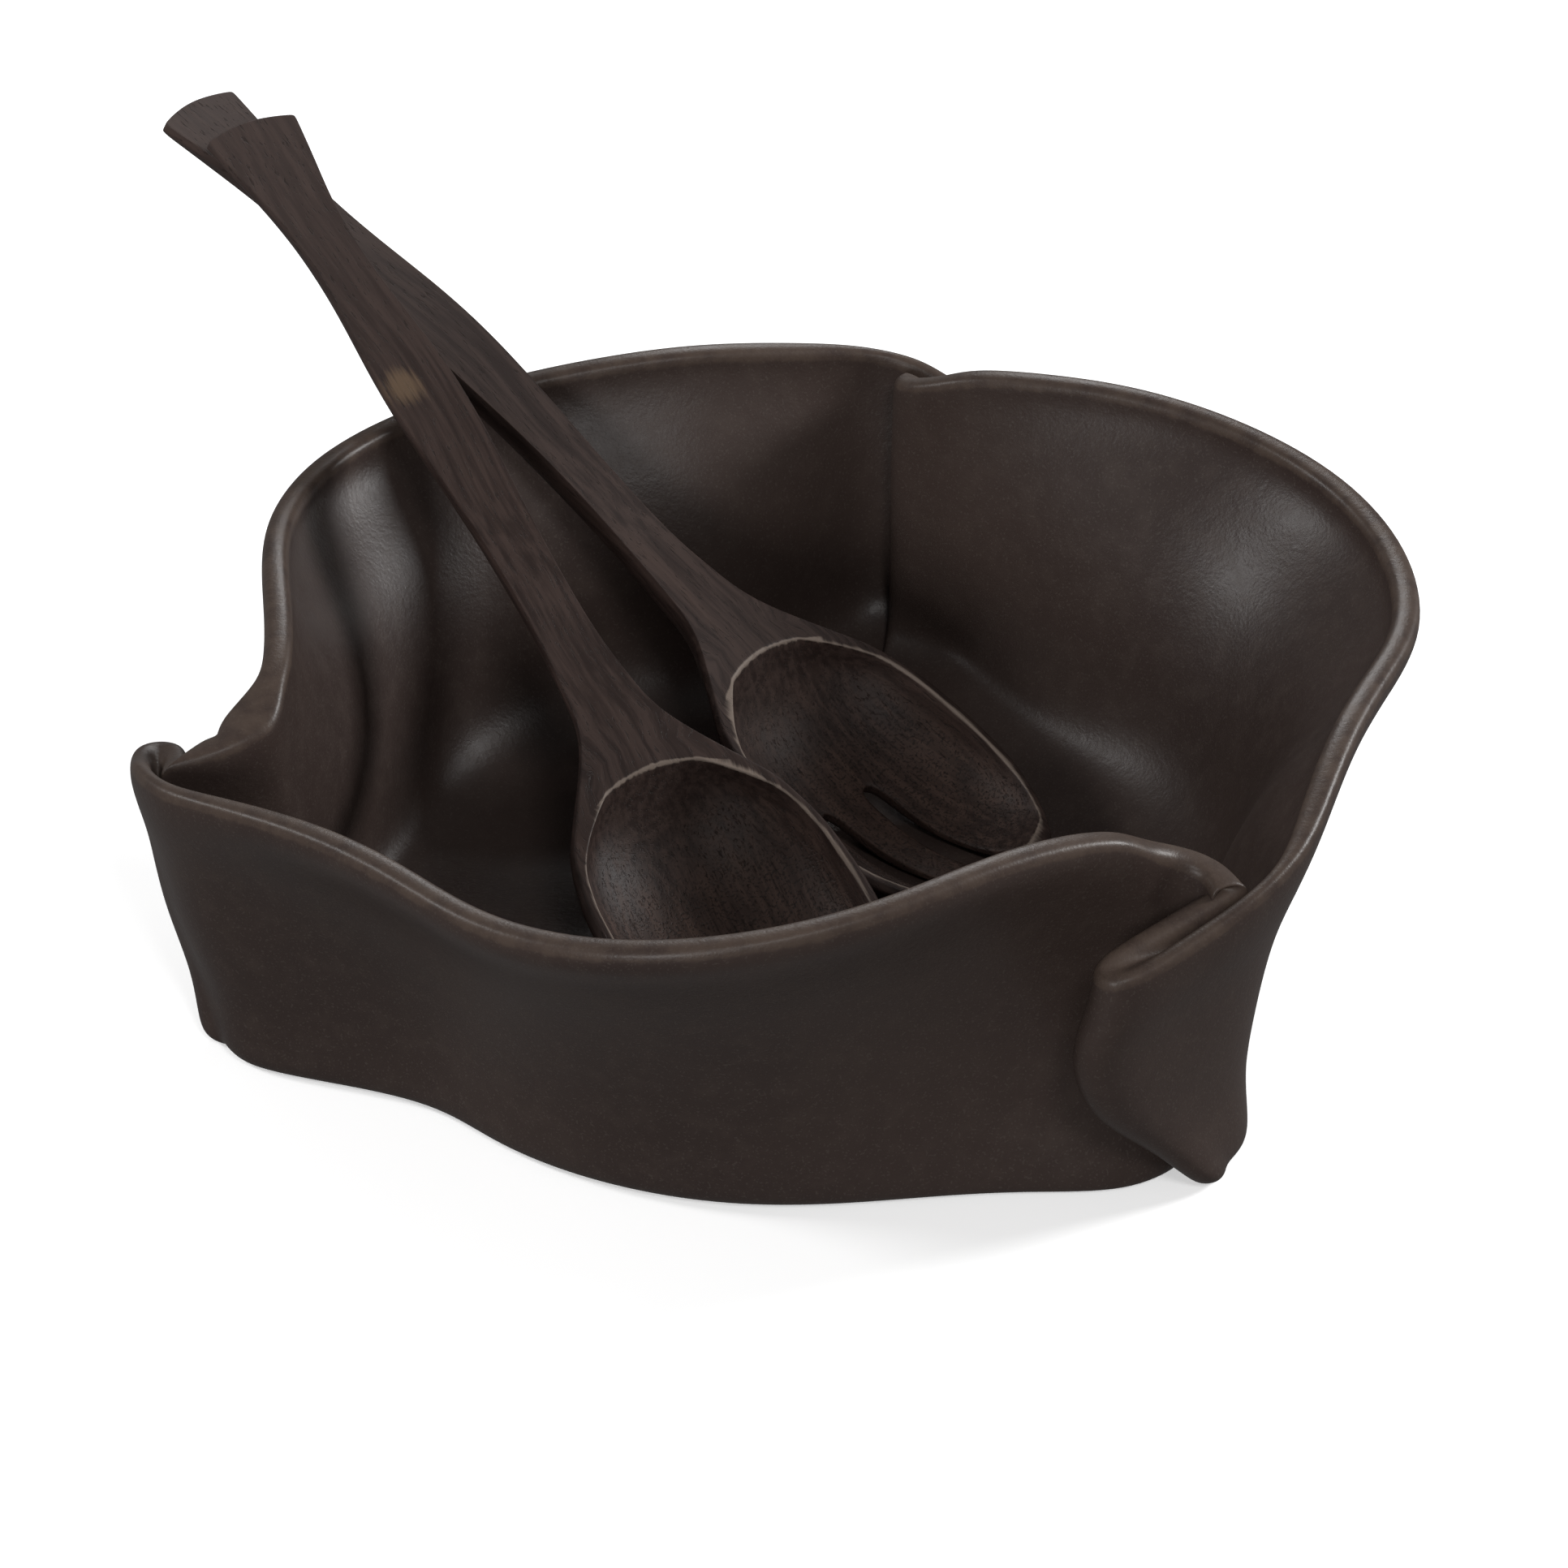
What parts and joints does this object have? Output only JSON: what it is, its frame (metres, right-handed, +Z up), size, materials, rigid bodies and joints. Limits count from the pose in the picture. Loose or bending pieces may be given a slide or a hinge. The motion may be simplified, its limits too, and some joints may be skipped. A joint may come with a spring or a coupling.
{
  "type": "salad bowl with servers",
  "caption": "Folded stoneware salad bowl, its wall gathered in knife pleats, with a wooden spoon and fork resting inside over the rim.",
  "frame": {"origin": "middle of the bowl's foot, on the surface that it stands on", "axes": "+Z up; the front fold is towards +X and -Y, and the servers' handles lean back over the rim towards -X and +Y"},
  "size_m": [0.3183, 0.3346, 0.1459],
  "materials": {
    "glaze": "matte dark brown glaze",
    "wood": "oiled dark stained wood"
  },
  "bodies": {
    "bowl": {"bowl": "glaze"},
    "fork": {"slotted_server": "wood"},
    "spoon": {"serving_spoon": "wood"}
  },
  "joints": [
    {"name": "fork_lift", "type": "slide", "parent": "bowl", "child": "fork", "axis": [0, 0, 1], "range_m": [0, 0.15]},
    {"name": "spoon_lift", "type": "slide", "parent": "fork", "child": "spoon", "axis": [0, 0, 1], "range_m": [0, 0.15]}
  ]
}
